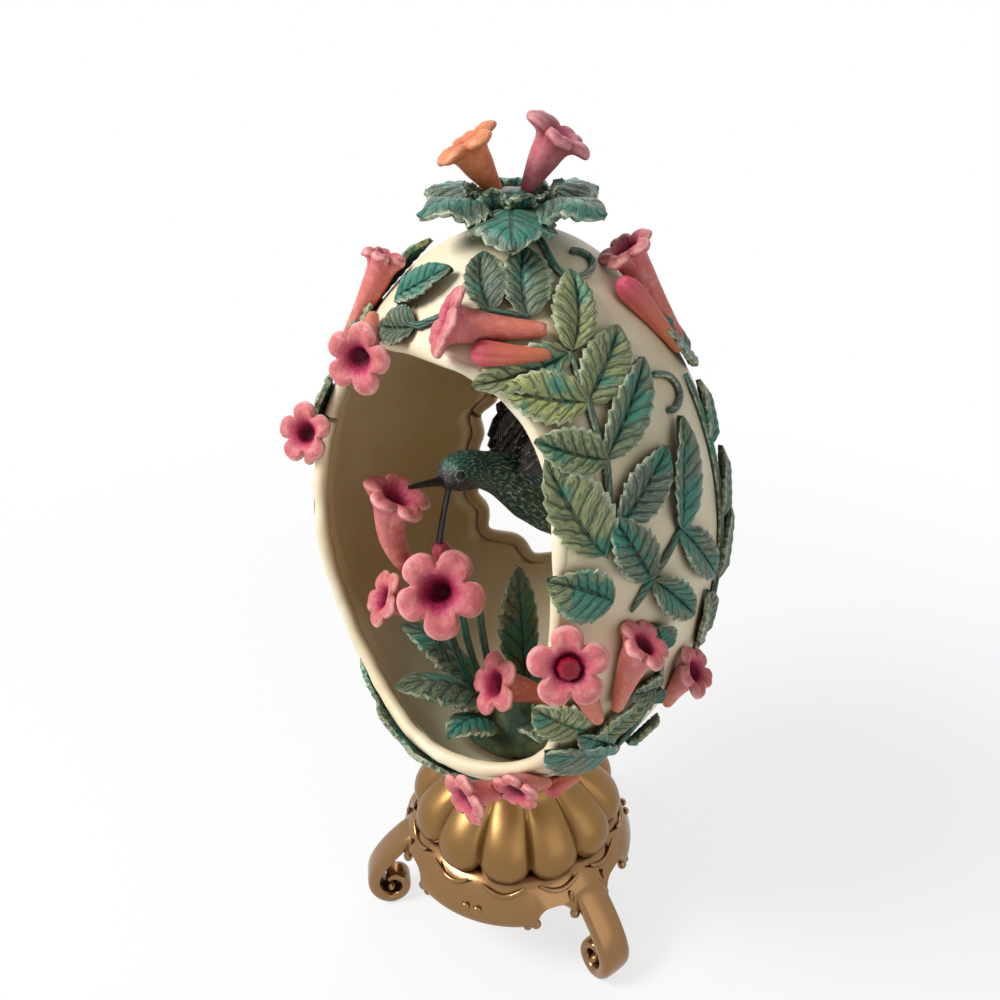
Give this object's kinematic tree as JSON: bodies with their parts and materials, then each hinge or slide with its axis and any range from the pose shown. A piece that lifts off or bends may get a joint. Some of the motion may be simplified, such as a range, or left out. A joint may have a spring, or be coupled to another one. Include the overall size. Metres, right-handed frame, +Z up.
{
  "type": "decorative egg on stand",
  "caption": "Hollow ornamental egg with open front and rear, vine leaves and trumpet flowers in relief, a hummingbird inside, a flower finial and a lobed gold stand on scroll feet.",
  "frame": {"origin": "on the table under the egg's axis", "axes": "+Z up along the egg's axis, the front opening faces -Y, +X to the right seen from the front"},
  "size_m": [0.0688, 0.0535, 0.1355],
  "materials": {
    "ivory_resin": "satin painted casting",
    "leaf_green": "satin paint with pale dry brush",
    "petal_coral": "satin paint with pale edges",
    "finial_orange": "satin paint",
    "finial_mauve": "satin paint",
    "bud_orange": "satin paint",
    "moss": "matt paint",
    "bird_green": "metallic paint with pale dry brush",
    "feather_dark": "satin paint with silver lines",
    "black_wire": "gloss black",
    "red_glass": "faceted",
    "lobe_gold": "satin gold with dark grooves",
    "skirt_gold": "glossy rose gold"
  },
  "bodies": {
    "root": {"bird_beak": "black_wire", "bird_body": "bird_green", "bird_tail": "feather_dark", "bird_wing_left": "feather_dark", "bird_wing_right": "feather_dark", "crown_flower_orange": "finial_orange", "crown_flower_pink": "finial_mauve", "crown_front_spray": "leaf_green", "crown_whorl": "leaf_green", "egg_shell": "ivory_resin", "foot_front_spray": "leaf_green", "inner_bud": "bud_orange", "inner_flower_left": "petal_coral", "inner_flower_low": "petal_coral", "inner_flower_main": "petal_coral", "inner_flower_upper": "petal_coral", "inner_leaf_1": "leaf_green", "inner_leaf_2": "leaf_green", "inner_leaf_3": "leaf_green", "inner_leaf_4": "leaf_green", "inner_leaf_5": "leaf_green", "inner_leaf_6": "leaf_green", "inner_stems": "leaf_green", "jewel": "red_glass", "jewel_flower": "petal_coral", "left_back_spray": "leaf_green", "left_low_flower": "petal_coral", "left_lower_spray": "leaf_green", "left_middle_spray": "leaf_green", "left_rim_flower": "petal_coral", "left_side_flower": "petal_coral", "left_spire_flower": "petal_coral", "left_upper_spray": "leaf_green", "low_rim_bud": "bud_orange", "low_rim_flower": "petal_coral", "low_rim_flower_small": "petal_coral", "plant_mound": "moss", "rear_low_flower": "petal_coral", "rear_low_spray": "leaf_green", "rear_side_flower": "petal_coral", "rear_top_flower": "petal_coral", "rear_top_spray": "leaf_green", "right_back_spray": "leaf_green", "right_low_flower": "petal_coral", "right_lower_spray": "leaf_green", "right_middle_spray": "leaf_green", "right_rim_flower": "petal_coral", "right_upper_spray": "leaf_green", "stand_dome": "lobe_gold", "stand_leg_1": "skirt_gold", "stand_leg_2": "skirt_gold", "stand_leg_3": "skirt_gold", "stand_skirt": "skirt_gold", "support_wire": "black_wire", "tendrils": "leaf_green", "top_rim_bud": "bud_orange", "top_rim_flower": "petal_coral", "upper_left_flower": "petal_coral", "upper_right_bud": "bud_orange", "upper_right_flower": "petal_coral"}
  },
  "joints": []
}
